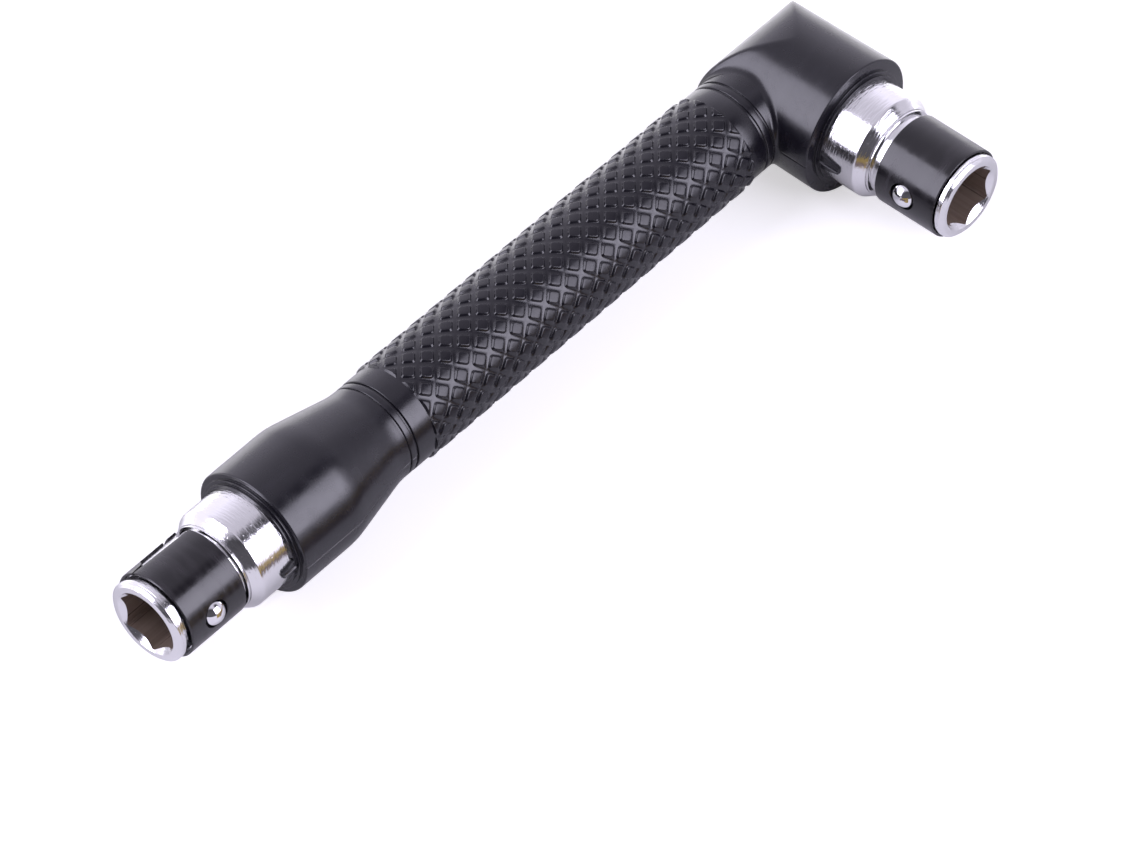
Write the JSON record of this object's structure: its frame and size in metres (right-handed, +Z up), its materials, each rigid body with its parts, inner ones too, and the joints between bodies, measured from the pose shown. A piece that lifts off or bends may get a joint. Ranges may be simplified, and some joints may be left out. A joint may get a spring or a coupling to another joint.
{
  "type": "offset screwdriver",
  "caption": "L-shaped hex bit driver: knurled black handle with one socket in line and one square to it, each with a ball held by a split spring collar.",
  "frame": {"origin": "middle of the underside of the bounding box, with the tool lying flat on its side", "axes": "+X along the handle towards the elbow, -Y the way the square head points, +Z up off the surface it lies on"},
  "size_m": [0.105, 0.0324, 0.0157],
  "materials": {
    "handle_plastic": "black moulded plastic, glossy, with a fine mould line",
    "grip_plastic": "black moulded plastic with raised diamond pads",
    "holder_chrome": "bright plated steel with fine turning marks",
    "collar_black": "black oxide spring steel, satin, lightly scuffed",
    "ball_steel": "polished steel ball"
  },
  "bodies": {
    "driver": {"handle": "handle_plastic", "grip_sleeve": "grip_plastic", "straight_bit_holder": "holder_chrome", "straight_collar": "collar_black", "angle_bit_holder": "holder_chrome", "angle_collar": "collar_black"},
    "straight_ball": {"straight_ball": "ball_steel"},
    "angle_ball": {"angle_ball": "ball_steel"}
  },
  "joints": [
    {"name": "straight_ball_slide", "type": "slide", "parent": "driver", "child": "straight_ball", "axis": [0, -0.9848, 0.1736], "range_m": [0, 0.0005], "stiffness_N_per_m": 2000, "springref_m": -0.0005, "deforming": ["straight_collar"]},
    {"name": "angle_ball_slide", "type": "slide", "parent": "driver", "child": "angle_ball", "axis": [-0.9903, 0, 0.1392], "range_m": [0, 0.0005], "stiffness_N_per_m": 2000, "springref_m": -0.0005, "deforming": ["angle_collar"]}
  ]
}
